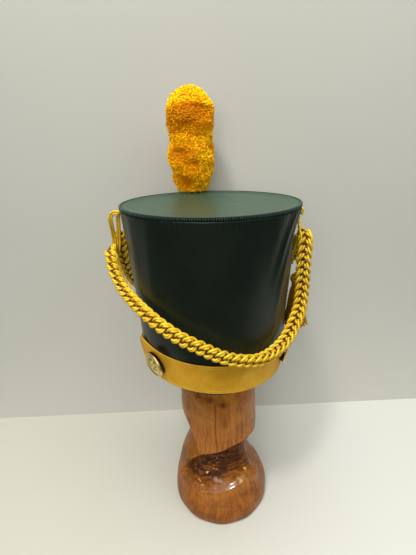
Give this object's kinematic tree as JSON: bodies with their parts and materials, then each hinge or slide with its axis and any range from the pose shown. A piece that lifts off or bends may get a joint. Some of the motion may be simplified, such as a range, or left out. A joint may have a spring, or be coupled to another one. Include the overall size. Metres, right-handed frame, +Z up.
{
  "type": "shako hat on a carved wooden stand",
  "caption": "Black-green shako with a gold band, looped gold braids, tassel, side bosses, peak and yellow plume, resting on a carved wooden stand.",
  "frame": {"origin": "on the floor under the stand, straight below the hat's own axis", "axes": "+Z up; the hat's front, with its peak and plume, faces -Y; its back faces +Y; the wearer's right is -X"},
  "size_m": [0.2696, 0.2744, 0.6248],
  "materials": {
    "leathercloth": "satin black-green leathercloth",
    "gold_leather": "smooth mustard gold, satin",
    "brass": "pale, softly polished",
    "gold_cord": "bright plaited gold cord",
    "plume_yarn": "tufted yellow-orange yarn",
    "wood": "varnished red-brown, carved"
  },
  "bodies": {
    "root": {"crown_shell": "leathercloth", "crown_top": "leathercloth", "rim_welt": "leathercloth", "peak": "leathercloth", "gold_band": "gold_leather", "boss_left": "brass", "boss_right": "brass", "plume_socket": "brass", "knot_left": "gold_cord", "knot_right": "gold_cord", "loop_left": "gold_cord", "loop_right": "gold_cord", "braid_back": "gold_cord", "braid_front": "gold_cord", "tassel_cord": "gold_cord", "tassel": "gold_cord", "plume": "plume_yarn", "stand": "wood", "stand_post": "wood"}
  },
  "joints": []
}
